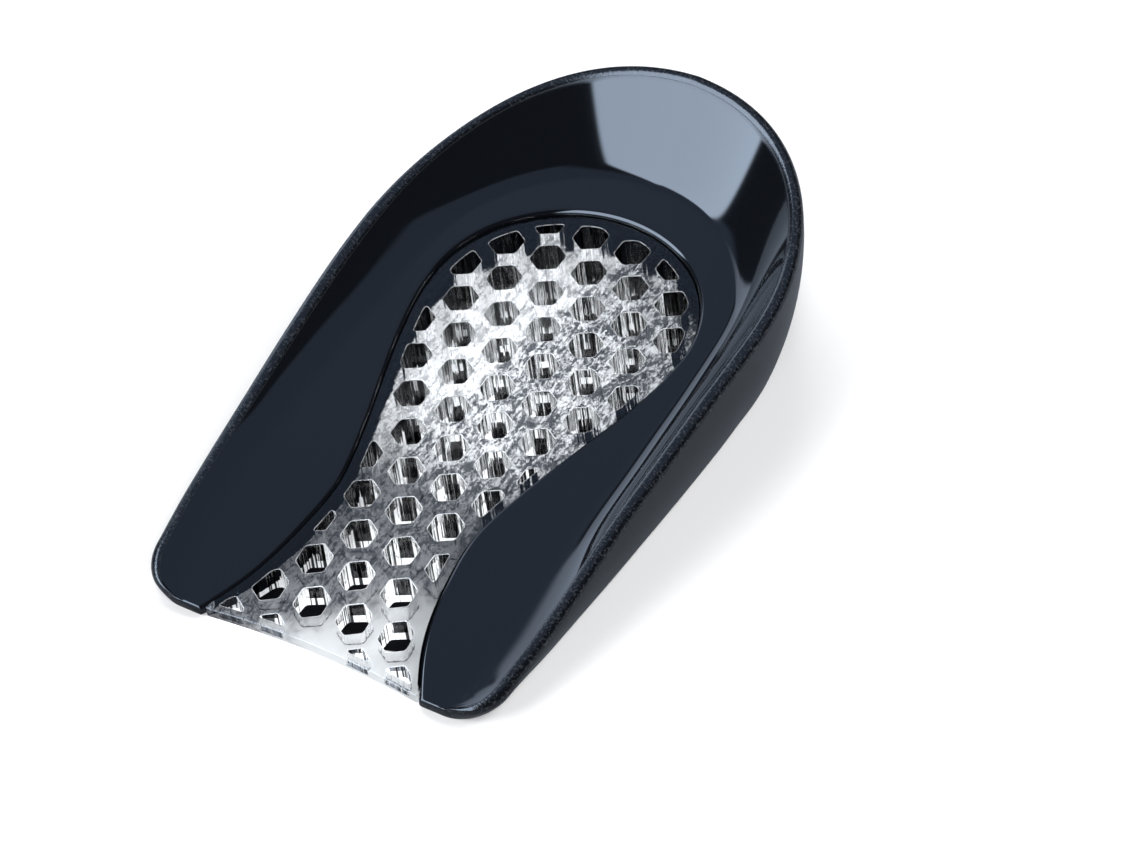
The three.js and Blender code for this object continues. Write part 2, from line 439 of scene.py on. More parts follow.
def grain_group() -> bpy.types.NodeTree:
    """Shared group: uneven grain from fine noise, in a pattern stretched by a size for each axis.

    Returns:
        The group, made the first time it is asked for.
    """
    found = bpy.data.node_groups.get("moulded_grain")
    if found:
        return found
    group = bpy.data.node_groups.new("moulded_grain", "ShaderNodeTree")
    group.interface.new_socket("Size", in_out="INPUT", socket_type="NodeSocketVector")
    group.interface.new_socket("Detail", in_out="INPUT", socket_type="NodeSocketFloat")
    group.interface.new_socket("Twist", in_out="INPUT", socket_type="NodeSocketFloat")
    group.interface.new_socket("Height", in_out="OUTPUT", socket_type="NodeSocketFloat")
    board = NodeBoard(group)
    given = board.add("NodeGroupInput")
    scaled = board.add("ShaderNodeVectorMath", {"operation": "MULTIPLY"})
    board.join(object_place(board), scaled.inputs[0])
    board.join(given.outputs["Size"], scaled.inputs[1])
    noise = board.add("ShaderNodeTexNoise", None, Vector=scaled.outputs[0], Scale=1.0,
                      Detail=given.outputs["Detail"], Distortion=given.outputs["Twist"])
    board.join(noise.outputs["Fac"], board.add("NodeGroupOutput").inputs["Height"])
    return group


def grain(board: NodeBoard, kind: Grain) -> Socket:
    """Adds the shared grain to a material.

    Args:
        board: The material's nodes.
        kind: Which pattern.

    Returns:
        The grain's height, from 0 to 1.
    """
    pattern = kind.value
    node = board.add("ShaderNodeGroup", {"node_tree": grain_group()}, Size=pattern.size,
                     Detail=pattern.detail, Twist=pattern.twist)
    return node.outputs["Height"]


def object_place(board: NodeBoard) -> Socket:
    """The place of a surface point on its piece."""
    return board.add("ShaderNodeTexCoord").outputs["Object"]


def surface_value(board: NodeBoard, name: str) -> Socket:
    """A value that the mesh holds at each vertex."""
    return board.add("ShaderNodeAttribute", {"attribute_name": name}).outputs["Fac"]


def reach_along(board: NodeBoard, place: Socket, way: Way) -> Socket:
    """Finds how far a place or a direction reaches along a way, as their dot product.

    Args:
        board: The tree's nodes.
        place: The place or direction.
        way: The way that it is measured along.

    Returns:
        The reach.
    """
    node = board.add("ShaderNodeVectorMath", {"operation": "DOT_PRODUCT"})
    board.join(place, node.inputs[0])
    node.inputs[1].default_value = way
    return node.outputs["Value"]


def combine(board: NodeBoard, operation: str, first: Socket, second: Socket) -> Socket:
    """Works one value out from two.

    Args:
        board: The tree's nodes.
        operation: Blender's name of what is done, such as MULTIPLY.
        first: One value.
        second: The other value.

    Returns:
        The outcome.
    """
    node = board.add("ShaderNodeMath", {"operation": operation})
    board.join(first, node.inputs[0])
    board.join(second, node.inputs[1])
    return node.outputs["Value"]


def add_scaled(board: NodeBoard, value: Socket, factor: float, base: Socket) -> Socket:
    """Adds a value times a factor to a base value.

    Args:
        board: The tree's nodes.
        value: The value to scale.
        factor: What it is multiplied by.
        base: The value that it is added to.

    Returns:
        The sum.
    """
    node = board.add("ShaderNodeMath", {"operation": "MULTIPLY_ADD"})
    board.join(value, node.inputs[0])
    node.inputs[1].default_value = factor
    board.join(base, node.inputs[2])
    return node.outputs["Value"]


def spread(board: NodeBoard, value: Socket, low: float, high: float) -> Socket:
    """A smooth step from 0 where the value is low to 1 where it is high."""
    step = board.add("ShaderNodeMapRange", {"interpolation_type": "SMOOTHSTEP"}, Value=value,
                     From_Min=low, From_Max=high)
    return step.outputs["Result"]


def blend(board: NodeBoard, share: Socket, low: Colour | Socket, high: Colour | Socket) -> Socket:
    """Makes a colour that runs from one to another.

    Args:
        board: The tree's nodes.
        share: 0 where the first colour shows and 1 where the second does.
        low: The first colour.
        high: The second colour.

    Returns:
        The colour.
    """
    mix = board.add("ShaderNodeMixRGB")
    board.join(share, mix.inputs[0])
    for socket, colour in zip(mix.inputs[1:], (low, high)):
        if isinstance(colour, Socket):
            board.join(colour, socket)
        else:
            socket.default_value = colour
    return mix.outputs[0]


def bumped(board: NodeBoard, height: Socket, depth: float) -> Socket:
    """Normals of a surface that a height raises by up to a depth."""
    bump = board.add("ShaderNodeBump", None, Height=height, Strength=1.0, Distance=depth)
    return bump.outputs["Normal"]


def matt(board: NodeBoard, tone: Colour | Socket, roughness: float) -> None:
    """Ends a material in a surface that mirrors nothing.

    Args:
        board: The material's nodes.
        tone: Its colour.
        roughness: How rough it is.
    """
    surface = board.add("ShaderNodeBsdfPrincipled", None, Base_Color=tone, Roughness=roughness)
    surface.inputs["Specular IOR Level"].default_value = 0.0
    board.end(surface.outputs["BSDF"])


@dataclass(frozen=True)
class ShellFinish:
    """Glossy black silicone, with a grainy rim and a dull outside whose lighter grey is partly its own and
    partly a painted reflection of the pale floor.
    """

    colour: Colour = (0.003, 0.0036, 0.0048, 1.0)
    # dull outside: a lighter grey, partly its own and partly a painted reflection of the pale floor
    outside: Colour = (0.011, 0.012, 0.013, 1.0)
    speck: Colour = (0.022, 0.024, 0.027, 1.0)
    outside_reflection_span: Span = (0.5, 0.75)
    rim_span: Span = (0.85, 0.95)
    speck_span: Span = (0.54, 0.62)
    gloss_roughness: float = 0.07
    dull_roughness: float = 0.38
    rim_polish: float = -0.2
    grain_depth: float = 0.03 * MM
    ior: float = 1.45

    def material(self) -> bpy.types.Material:
        """Builds the shell's material, by how dull each stretch of the shell's section is.

        Returns:
            The material.
        """
        material, board = new_material("glossy_black_silicone")
        zone = surface_value(board, "dullness")
        rough = board.add("ShaderNodeMapRange", None, Value=zone, To_Min=self.gloss_roughness,
                          To_Max=self.dull_roughness)
        rim = spread(board, zone, *self.rim_span)
        worn = add_scaled(board, rim, self.rim_polish, rough.outputs["Result"])
        fine = grain(board, Grain.RIM)
        specks = blend(board, spread(board, fine, *self.speck_span), self.colour, self.speck)
        # the outside turns lighter grey, partly a painted reflection of the pale floor
        tone = blend(board, spread(board, zone, *self.outside_reflection_span), self.colour, self.outside)
        normal = bumped(board, combine(board, "MULTIPLY", fine, rim), self.grain_depth)
        surface = board.add("ShaderNodeBsdfPrincipled", None, Base_Color=blend(board, rim, tone, specks),
                            Roughness=worn, IOR=self.ior, Normal=normal)
        board.end(surface.outputs["BSDF"])
        return material


@dataclass(frozen=True)
class GelFinish:
    """Silicone gel that lets lamp light through: the base of the pad's finishes."""

    name: str
    colour: Colour = (0.98, 0.985, 0.99, 1.0)
    shade: Colour = (0.95, 0.955, 0.96, 1.0)
    clearness: float = 1.0
    roughness: float = 0.02
    ior: float = 1.41

    def material(self) -> bpy.types.Material:
        """Builds the material: a part clear surface, seen through by rays from lamps.

        Returns:
            The material.
        """
        material, board = new_material(self.name)
        surface = board.add("ShaderNodeBsdfPrincipled", None, Roughness=self.roughness, IOR=self.ior)
        surface.inputs["Transmission Weight"].default_value = self.clearness
        self.detail(board, surface)
        through = board.add("ShaderNodeBsdfTransparent", None, Color=self.shade)
        path = board.add("ShaderNodeLightPath")
        lit = board.add("ShaderNodeMixShader")
        board.join(path.outputs["Is Shadow Ray"], lit.inputs[0])
        board.join(surface.outputs["BSDF"], lit.inputs[1])
        board.join(through.outputs["BSDF"], lit.inputs[2])
        board.end(lit.outputs["Shader"])
        return material

    def detail(self, board: NodeBoard, surface: bpy.types.Node) -> None:
        """Colours the surface and gives it relief, each finish in its own way."""
        raise NotImplementedError


class Fade(NamedTuple):
    """A change of tone over the pad: the way that it runs and where it starts and ends along it."""

    way: Way
    span: Span


@dataclass(frozen=True)
class StreakedTop(GelFinish):
    """The pad's clear top, streaked lengthwise, with painted light to the left and along the front edge, and
    painted shade toward the front.
    """

    name: str = "clear_honeycomb_gel"
    dark_tint: Colour = (0.0095, 0.0105, 0.0125, 1.0)
    pale_tint: Colour = (0.8, 0.82, 0.84, 1.0)
    middle_span: Span = (1.2, 1.58)
    # painted light: the top pales to white toward the left
    painted_light_low: Colour = (0.22, 0.23, 0.24, 1.0)
    painted_light_span: Span = (1.12, 1.42)
    painted_light_fade: Fade = Fade((-1.0, 0.25, 0.0), (5 * MM, 10 * MM))
    # painted shade: the top greys toward the front
    painted_shade_dark: Colour = (0.0025, 0.0028, 0.0035, 1.0)
    painted_shade_tint: Colour = (0.04, 0.0415, 0.045, 1.0)
    painted_shade_span: Span = (1.12, 1.5)
    painted_shade_fade: Fade = Fade((0.0, -1.0, 0.0), (14 * MM, 30 * MM))
    # painted light: the top lightens along its front edge
    painted_edge_light: Colour = (0.25, 0.26, 0.265, 1.0)
    painted_edge_light_fade: Fade = Fade((0.6, -0.8, 0.0), (39 * MM, 46 * MM))
    patch_weight: float = 0.7
    streak_weight: float = 0.9
    straying: float = 8 * MM
    crinkle_depth: float = 0.02 * MM

    def detail(self, board: NodeBoard, surface: bpy.types.Node) -> None:
        """Adds mottle, patches and streaks up to one height, tones the top by it, and paints light and shade
        over it.

        Args:
            board: The material's nodes.
            surface: The shader to feed.
        """
        patches = grain(board, Grain.PATCHES)
        mottle = add_scaled(board, patches, self.patch_weight, grain(board, Grain.MOTTLE))
        height = add_scaled(board, grain(board, Grain.STREAKS), self.streak_weight, mottle)
        tone = blend(board, spread(board, height, *self.middle_span), self.dark_tint, self.pale_tint)
        # white: the painted light to the left
        white = blend(board, spread(board, height, *self.painted_light_span), self.painted_light_low, self.colour)
        # front: the painted shade toward the front
        front = blend(board, spread(board, height, *self.painted_shade_span), self.painted_shade_dark, self.painted_shade_tint)
        place = object_place(board)
        # lays the painted light to the left, the painted shade toward the front and the painted light at the
        # front edge
        ends = ((self.painted_light_fade, white), (self.painted_shade_fade, front), (self.painted_edge_light_fade, self.painted_edge_light))
        for fade, end in ends:
            strayed = add_scaled(board, patches, self.straying, reach_along(board, place, fade.way))
            tone = blend(board, spread(board, strayed, *fade.span), tone, end)
        board.join(tone, surface.inputs["Base Color"])
        board.join(bumped(board, height, self.crinkle_depth), surface.inputs["Normal"])


@dataclass(frozen=True)
class HighlightedEdge(GelFinish):
    """The rounded edges of the wells, milky white: a painted highlight round each well."""

    name: str = "painted_highlight_gel_edge"
    # painted highlight: the milky white that outlines each well
    colour: Colour = (0.9, 0.92, 0.94, 1.0)
    # a darker grey that breaks the painted highlight up
    worn: Colour = (0.4, 0.42, 0.45, 1.0)
    highlight_break_span: Span = (0.35, 0.65)
    clearness: float = 0.7
    roughness: float = 0.12

    def detail(self, board: NodeBoard, surface: bpy.types.Node) -> None:
        """Breaks the painted white highlight of the edge up with a fine grain."""
        share = spread(board, grain(board, Grain.CRINKLE), *self.highlight_break_span)
        board.join(blend(board, share, self.worn, self.colour), surface.inputs["Base Color"])


@dataclass(frozen=True)
class FlutedWall(GelFinish):
    """The upright walls of the wells, drawn into fine upright flutes, pale between dark lines."""

    name: str = "fluted_gel_wall"
    dark: Colour = (0.0015, 0.0017, 0.002, 1.0)
    flute_span: Span = (0.47, 0.52)
    # painted shade: the walls are darker toward the pad's border
    border_shade_span: Span = (2.0, 7.0)
    border_shade_lift: float = 0.07
    flute_depth: float = 0.3 * MM

    def detail(self, board: NodeBoard, surface: bpy.types.Node) -> None:
        """Flutes the wall in height and colour, with painted shade that darkens it toward the pad's border.

        Args:
            board: The material's nodes.
            surface: The shader to feed.
        """
        flutes = grain(board, Grain.FLUTES)
        # painted shade near the border: the walls are lifted only away from it
        inside = spread(board, surface_value(board, "margin"), *self.border_shade_span)
        lifted = add_scaled(board, inside, self.border_shade_lift, flutes)
        tone = blend(board, spread(board, lifted, *self.flute_span), self.dark, self.colour)
        board.join(tone, surface.inputs["Base Color"])
        board.join(bumped(board, flutes, self.flute_depth), surface.inputs["Normal"])


@dataclass(frozen=True)
class TackyUnderside(GelFinish):
    """The pad's tacky white underside, black in a ragged band along its border round the heel."""

    name: str = "tacky_gel_underside"
    colour: Colour = (0.92, 0.93, 0.94, 1.0)
    bonded: Colour = (0.003, 0.0033, 0.004, 1.0)
    bond_span: Span = (18 * MM, 11 * MM)
    raggedness: float = -1.7
    loose_span: Span = (0.1, 0.6)
    clearness: float = 0.0
    roughness: float = 0.5

    def detail(self, board: NodeBoard, surface: bpy.types.Node) -> None:
        """Darkens a ragged border round the heel.

        Args:
            board: The material's nodes.
            surface: The shader to feed.
        """
        margin = surface_value(board, "margin")
        ragged = add_scaled(board, grain(board, Grain.TACK), self.raggedness, margin)
        loose = spread(board, ragged, *self.loose_span)
        along = reach_along(board, object_place(board), (0.0, 1.0, 0.0))
        free = combine(board, "MAXIMUM", loose, spread(board, along, *self.bond_span))
        board.join(blend(board, free, self.bonded, self.colour), surface.inputs["Base Color"])


@dataclass(frozen=True)
class BondFinish:
    """The black of the shell as it shows through the gel's bonded sides."""

    colour: Colour = (0.003, 0.0036, 0.005, 1.0)
    roughness: float = 0.6

    def material(self) -> bpy.types.Material:
        """Builds the bonded face's material.

        Returns:
            The material.
        """
        material, board = new_material("bonded_black")
        matt(board, self.colour, self.roughness)
        return material


class Dullness(Enum):
    """How dull the shell is on each stretch of its section, from polished to satin."""

    POLISHED = 0.0
    SIDE = 0.3
    FOOT = 0.5
    OUTSIDE = 0.8
    RIM = 1.0


class SectionSteps(NamedTuple):
    """How many points each stretch of the shell's section has, going out from the window."""

    foot: int = 4
    side: int = 5
    lip: int = 7
    floor: int = 12
    wall: int = 36
    bead: int = 16
    outside: int = 18
    base: int = 8
    underside: int = 6


class Stretch(NamedTuple):
    """One stretch of the section at every station: distance out from the window, height and finish."""

    out: np.ndarray
    height: np.ndarray
    finish: Dullness


@dataclass
class CupShell:
    """The black shell: one section carried round the open window, from arm tip to arm tip.

    Sizes are in millimetres. The shares are of the rim's height, and keep the bead and the base's round
    edge small on the low tips.
    """

    plan: CupPlan
    bead: float = 1.2
    bead_share: float = 0.35
    lip: float = 0.7
    foot_round: float = 0.4
    base_round: float = 2.2
    base_share: float = 0.4
    pull_share: float = 0.45
    wall_bunching: float = 1.7
    first_steepness: float = math.radians(60)
    steepness_rounds: int = 6
    steps: SectionSteps = SectionSteps()
    tip_steps: int = 28
    arm_steps: int = 90
    heel_steps: int = 80
    piece: bpy.types.Object | None = field(default=None, init=False)

    def window_edge(self, floor: np.ndarray) -> list[Stretch]:
        """Works out the edge at the window: a quarter circle, an upright side and a second quarter circle.

        Args:
            floor: Height of the floor at each station.

        Returns:
            The foot, the side and the lip.
        """
        level = np.zeros_like(floor)
        turn = even_steps(self.steps.foot) * np.pi / 2
        foot = Stretch(self.foot_round * (1 - np.sin(turn)) + level,
                       self.foot_round * (1 - np.cos(turn)) + level, Dullness.FOOT)
        share = even_steps(self.steps.side)
        side = Stretch(0 * share + level,
                       self.foot_round + (floor - self.lip - self.foot_round) * share, Dullness.SIDE)
        turn = even_steps(self.steps.lip) * np.pi / 2
        lip = Stretch(self.lip * (1 - np.cos(turn)) + level,
                      floor - self.lip + self.lip * np.sin(turn), Dullness.POLISHED)
        return [foot, side, lip]

    def inside(self, at: Stations, width: np.ndarray, bead: np.ndarray) -> list[Stretch]:
        """Works out the flat floor, a wall that rises as a power of its run, and the round bead.

        The bead begins where it is as steep as the wall, which a few rounds of trial find.

        Args:
            at: The stations.
            width: Distance from the window to the rim at each station.
            bead: Radius of the bead at each station.

        Returns:
            The floor, the wall and the bead.
        """
        floor, top, run, power = (column[:, None] for column in (at.floor, at.rim_top, at.run, at.power))
        crease = width - 2 * bead - run
        steep = np.full_like(width, self.first_steepness)
        for _ in range(self.steepness_rounds):
            end_out = width - bead - bead * np.sin(steep)
            end_z = top - bead + bead * np.cos(steep)
            steep = np.arctan((end_z - floor) / (end_out - crease) * power)
        share = even_steps(self.steps.floor)
        flat = Stretch(self.lip + (crease - self.lip) * share, floor + 0 * share, Dullness.POLISHED)
        share = even_steps(self.steps.wall) ** self.wall_bunching
        wall = Stretch(crease + (end_out - crease) * share,
                       floor + (end_z - floor) * share**power, Dullness.POLISHED)
        roll = (np.pi / 2 + steep) * (1 - even_steps(self.steps.bead))
        rim = Stretch(width - bead + bead * np.cos(roll), top - bead + bead * np.sin(roll), Dullness.RIM)
        return [flat, wall, rim]

    def outside(self, width: np.ndarray, base: np.ndarray, top: np.ndarray,
                bead: np.ndarray) -> list[Stretch]:
        """Works out the outer side, which leans in along a parabola, the round base edge and the underside.

        Args:
            width: Distance from the window to the rim at each station.
            base: Distance from the window to the base edge.
            top: Height of the rim.
            bead: Radius of the bead.

        Returns:
            The side, the base edge and the underside.
        """
        shoulder = top - bead
        corner = np.minimum(self.base_round, self.base_share * top)
        pull = corner + self.pull_share * (shoulder - corner)
        lean = np.arctan2(width - base, pull - corner)
        foot_out = base - corner + corner * np.cos(lean)
        foot_z = corner - corner * np.sin(lean)
        down = even_steps(self.steps.outside)
        side = Stretch((1 - down) ** 2 * width + 2 * down * (1 - down) * width + down**2 * foot_out,
                       (1 - down) ** 2 * shoulder + 2 * down * (1 - down) * pull + down**2 * foot_z,
                       Dullness.OUTSIDE)
        turn = lean + (np.pi / 2 - lean) * even_steps(self.steps.base)
        edge = Stretch(base - corner + corner * np.cos(turn),
                       corner - corner * np.sin(turn), Dullness.OUTSIDE)
        inward = base - corner + (self.foot_round - base + corner) * even_steps(self.steps.underside)
        return [side, edge, Stretch(inward, np.zeros_like(inward), Dullness.OUTSIDE)]

    def section(self, at: Stations) -> tuple[np.ndarray, np.ndarray, np.ndarray]:
        """Closed section at every station, as whole arrays, from the window's edge out and back under.

        Args:
            at: The stations.

        Returns:
            Distance out from the window, height, and dullness of the finish, a row for each station.
        """
        width = np.linalg.norm(at.rim - at.window, axis=1)[:, None]
        base = np.linalg.norm(at.base - at.window, axis=1)[:, None]
        top = at.rim_top[:, None]
        bead = np.minimum(self.bead, self.bead_share * top)
        stretches = self.window_edge(at.floor[:, None])
        stretches += self.inside(at, width, bead)
        stretches += self.outside(width, base, top, bead)
        out = np.concatenate([stretch.out for stretch in stretches], axis=1)
        height = np.concatenate([stretch.height for stretch in stretches], axis=1)
        dull = np.concatenate([np.full(stretch.out.shape[1], stretch.finish.value) for stretch in stretches])
        return out, height, np.broadcast_to(dull, out.shape)

    def build(self) -> bpy.types.Object:
        """Lofts the sections of both halves and closes each tip with a fan of triangles.

        Returns:
            The shell.
        """
        at = self.plan.half(self.tip_steps, self.arm_steps, self.heel_steps)
        out, height, dull = self.section(at)
        away = unit_rows(at.rim - at.window)
        plan_x, plan_y = (at.window[:, [axis]] + away[:, [axis]] * out for axis in (0, 1))
        rings = with_mirror(np.stack([plan_x, plan_y, height], axis=-1))
        count, size = rings.shape[:2]
        centres = rings[[0, -1]].mean(axis=1)
        vertices = np.concatenate([rings.reshape(-1, 3), centres])
        side = np.arange(size)
        nxt = (side + 1) % size
        last = (count - 1) * size
        caps = np.concatenate([
            np.stack([nxt, side, np.full(size, count * size)], axis=1),
            np.stack([last + side, last + nxt, np.full(size, count * size + 1)], axis=1),
        ])
        self.piece = make_object("silicone_shell", vertices, [strip_faces(count, size), caps])
        dull = np.concatenate([dull, dull[-2::-1]])
        cap_dull = np.full(len(centres), Dullness.OUTSIDE.value)
        keep_values(self.piece, "dullness", np.concatenate([dull.ravel(), cap_dull]))
        return self.piece

    def dress(self, finish: ShellFinish) -> None:
        """Gives the shell its finish and its place on the frame.

        Args:
            finish: The finish.
        """
        self.piece.data.materials.append(finish.material())
        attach(self.piece, "root")
        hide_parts("cup_shell")


class PadFace(Enum):
    """Kinds of face on the pad, each with its own finish."""

    CLEAR = 0
    BONDED = 1
    EDGE = 2
    UNDERSIDE = 3
    WALL = 4


@dataclass
class HoneycombPad:
    """The clear gel pad: an upright wall round the window's outline, pierced by hexagonal wells.

    Sizes are in millimetres. A well's centre may lie past the outline by up to a reach, and a well that
    the border would leave narrower than the smallest width is left out.
    """

    plan: CupPlan
    outline_steps: tuple[int, int, int] = (6, 80, 60)
    front_points: int = 60
    clearance: float = 0.08
    border: float = 1.7
    front_extra: float = -0.6
    front_band: float = 6.0
    band_fade: float = 3.0
    smallest: float = 1.0
    front_bow: float = 1.2
    bare_front: float = 0.6
    corner_smooth: float = 0.8
    smooth_reach: int = 8
    hole_corners: float = 5.5
    hole_round: float = 0.3
    cut_round: float = 0.5
    pitch: float = 7.2
    first_row_y: float = 27.9
    rows: int = 14
    side_columns: int = 4
    shift_x: float = -0.4
    side_reach: float = -0.1
    front_reach: float = 0.9
    front_row_depth: float = 2.0
    edge_round: float = 0.09
    rim_round: float = 0.12
    hole_points: int = 72
    halvings: int = 16
    edge_steps: int = 6
    wall_steps: int = 7
    shadow_short: float = 4.0
    shadow_slant: float = 0.35
    shadow_widening: float = 1.12
    piece: bpy.types.Object | None = field(default=None, init=False)

    @property
    def hole_flat(self) -> float:
        """Distance from the middle of a well to the middle of one of its sides."""
        return self.hole_corners / 2 * math.cos(math.pi / 6)

    def outline(self, spacing: float = 0.4) -> np.ndarray:
        """Closed plan outline of the pad, evenly spaced, with softened front corners.

        The window's edge is mirrored, closed by a parabola across the front, resampled by length, and
        smoothed by a bell-shaped average along the loop.

        Args:
            spacing: Distance between points, in millimetres.

        Returns:
            Plan points, anticlockwise.
        """
        right = self.plan.half(*self.outline_steps).window
        across = np.linspace(-1, 1, self.front_points)[1:-1]
        corner = right[0, 0]
        front = np.stack([corner * across, self.plan.front_y + self.front_bow * (1 - across**2)], axis=1)
        loop = np.concatenate([with_mirror(right), front, right[:1]])
        length = np.concatenate([[0], np.cumsum(np.linalg.norm(np.diff(loop, axis=0), axis=1))])
        count = int(length[-1] / spacing)
        even = np.linspace(0, length[-1], count, endpoint=False)
        points = np.stack([np.interp(even, length, loop[:, axis]) for axis in (0, 1)], axis=1)
        offsets = np.arange(-self.smooth_reach, self.smooth_reach + 1)
        weight = np.exp(-0.5 * (offsets * spacing / self.corner_smooth) ** 2)
        weight /= weight.sum()
        smooth = sum(w * np.roll(points, -o, axis=0) for w, o in zip(weight, offsets))
        return smooth - self.clearance * self.outward(smooth)

    def shadow_outline(self) -> np.ndarray:
        """Plan outline of what lies hidden under the pad: a little wider, and cut short at the front.

        Returns:
            Plan points, anticlockwise.
        """
        loop = self.outline(spacing=1.0)
        short = self.plan.front_y + self.shadow_short + self.shadow_slant * np.maximum(loop[:, 0], 0)
        return np.stack([loop[:, 0] * self.shadow_widening, np.maximum(loop[:, 1], short)], axis=1)

    @staticmethod
    def outward(loops: np.ndarray) -> np.ndarray:
        """Unit normals that point out of anticlockwise closed loops, along the last but one axis."""
        along = np.roll(loops, -1, axis=-2) - np.roll(loops, 1, axis=-2)
        return unit_rows(np.stack([along[..., 1], -along[..., 0]], axis=-1))

    @staticmethod
    def edge_distance(points: np.ndarray, loop: np.ndarray) -> np.ndarray:
        """Distance of points to a closed anticlockwise loop, below zero inside.

        Each point is dropped onto every edge of the loop, and the nearest edge gives size and sign.

        Args:
            points: Plan points.
            loop: Plan points of the loop.

        Returns:
            The distance of each point.
        """
        start, step = loop, np.roll(loop, -1, axis=0) - loop
        rel = points[:, None, :] - start[None]
        share = np.clip((rel * step).sum(-1) / (step**2).sum(-1), 0, 1)
        away = rel - share[..., None] * step
        gap = np.linalg.norm(away, axis=-1)
        nearest = gap.argmin(axis=1)
        pick = np.arange(len(points))
        side = rel[pick, nearest, 0] * step[nearest, 1] - rel[pick, nearest, 1] * step[nearest, 0]
        return np.sign(side) * gap[pick, nearest]

    def border_distance(self, points: np.ndarray, loop: np.ndarray) -> np.ndarray:
        """Distance to the line that wells stop at: a border inside the outline, narrower at the front."""
        front = np.clip((self.plan.front_y + self.front_band - points[:, 1]) / self.band_fade, 0, 1)
        return self.edge_distance(points, loop) + self.border + self.front_extra * front

    def centres(self, loop: np.ndarray) -> np.ndarray:
        """Well centres in staggered rows, kept where they lie inside the outline.

        Args:
            loop: The pad's outline.

        Returns:
            Plan points.
        """
        columns = np.arange(-self.side_columns, self.side_columns + 1)
        row, column = np.meshgrid(np.arange(self.rows), columns, indexing="ij")
        x = self.shift_x + (column + (row % 2 == 0) / 2) * self.pitch
        y = self.first_row_y - row * self.pitch * math.sqrt(3) / 2
        every = np.stack([x.ravel(), y.ravel()], axis=1)
        in_front = every[:, 1] < self.plan.front_y + self.front_row_depth
        reach = np.where(in_front, self.front_reach, self.side_reach)
        return every[self.edge_distance(every, loop) < reach]

    def hexagon_distance(self, rel: np.ndarray) -> np.ndarray:
        """Distance to a hexagon with its corners on the Y axis and a small corner radius.

        The reach across the nearest pair of sides gives it, and near a corner the next pair's as well.

        Args:
            rel: Plan points from the middle of a well.

        Returns:
            The distance of each point, below zero inside.
        """
        angles = np.radians([0, 60, 120])
        faces = np.stack([np.cos(angles), np.sin(angles)])
        reach = np.sort(np.abs(rel @ faces), axis=-1) - self.hole_flat + self.hole_round
        first, second = reach[..., 2], reach[..., 1]
        rounded = np.sqrt(np.maximum(first, 0) ** 2 + np.maximum(second, 0) ** 2)
        return np.where(second > 0, rounded, first) - self.hole_round

    def wells(self, loop: np.ndarray) -> np.ndarray:
        """Plan loops of all wells, cut short where they would run into the pad's border.

        From a point inside each well, a ray at each angle is halved until it meets the nearer of the
        hexagon and the border, rounded where the two meet.

        Args:
            loop: The pad's outline.

        Returns:
            Plan loops, shaped (wells, points, 2).
        """
        centres = self.centres(loop)
        nearest = np.linalg.norm(centres[:, None] - loop[None], axis=-1).argmin(axis=1)
        inward = -self.outward(loop)[nearest]
        flat = self.hole_flat
        start = np.maximum(self.border_distance(centres, loop), -flat)
        kept = flat - start > self.smallest
        centres, inward, start = centres[kept], inward[kept], start[kept]
        inner = centres + inward * ((start + flat) / 2)[:, None]
        angle = np.linspace(0, 2 * np.pi, self.hole_points, endpoint=False)
        ray = np.stack([np.cos(angle), np.sin(angle)], axis=1)
        low = np.zeros((len(centres), self.hole_points))
        high = np.full_like(low, self.hole_corners)
        for _ in range(self.halvings):
            middle = (low + high) / 2
            points = inner[:, None] + middle[..., None] * ray
            hexagon = self.hexagon_distance(points - centres[:, None])
            border = self.border_distance(points.reshape(-1, 2), loop).reshape(low.shape)
            rounding = np.maximum(self.cut_round - np.abs(hexagon - border), 0) ** 2 / (4 * self.cut_round)
            outside = np.maximum(hexagon, border) + rounding > 0
            low, high = np.where(outside, low, middle), np.where(outside, middle, high)
        return inner[:, None] + low[..., None] * ray

    def rounded_wall(self, loops: np.ndarray, side: float, radius: float) -> np.ndarray:
        """Rings of upright walls on plan loops, rounded into the pad's top and underside.

        Args:
            loops: Plan loops, shaped (loops, points, 2).
            side: 1 where the gel lies outside the loop, as round a well, and -1 where it lies inside.
            radius: Radius of the rounded edges.

        Returns:
            Rings from the underside up, shaped (loops, rings, points, 3).
        """
        turn = np.linspace(0, np.pi / 2, self.edge_steps)
        level = np.linspace(0, 1, self.wall_steps + 1)[1:-1]
        normal = self.outward(loops)
        rings = []
        top = self.plan.pad_top(loops[..., 1])
        for angle in turn:
            plan = loops + side * radius * (1 - math.sin(angle)) * normal
            height = np.full_like(top, radius * (1 - math.cos(angle)))
            rings.append(np.concatenate([plan, height[..., None]], axis=-1))
        for share in level:
            height = radius + (top - 2 * radius) * share
            rings.append(np.concatenate([loops, height[..., None]], axis=-1))
        for angle in turn[::-1]:
            plan = loops + side * radius * (1 - math.sin(angle)) * normal
            height = self.plan.pad_top(plan[..., 1]) - radius * (1 - math.cos(angle))
            rings.append(np.concatenate([plan, height[..., None]], axis=-1))
        return np.stack(rings, axis=1)

    @staticmethod
    def flat_faces(points: np.ndarray, loops: list[np.ndarray]) -> np.ndarray:
        """Triangles that fill the area between an outer loop and the loops of the wells.

        Args:
            points: Plan points, one row for each vertex of the piece.
            loops: Vertex numbers of the loops, the outer one first.

        Returns:
            Triangles of vertex numbers, anticlockwise from above.
        """
        index = np.concatenate(loops)
        starts = np.cumsum([0] + [len(loop) for loop in loops[:-1]])
        rings = [(start + np.arange(len(loop))).tolist() for start, loop in zip(starts, loops)]
        flat = [Vector(point) for point in points[index].tolist()]
        _, _, faces, origin, _, inside = delaunay_2d_cdt(flat, [], rings, INSIDE_TRIANGLES, WELD_GAP)
        back = np.array([group[0] for group in origin])
        between = np.array([len(group) == 1 for group in inside])
        return index[back[np.array(faces)[between]]]

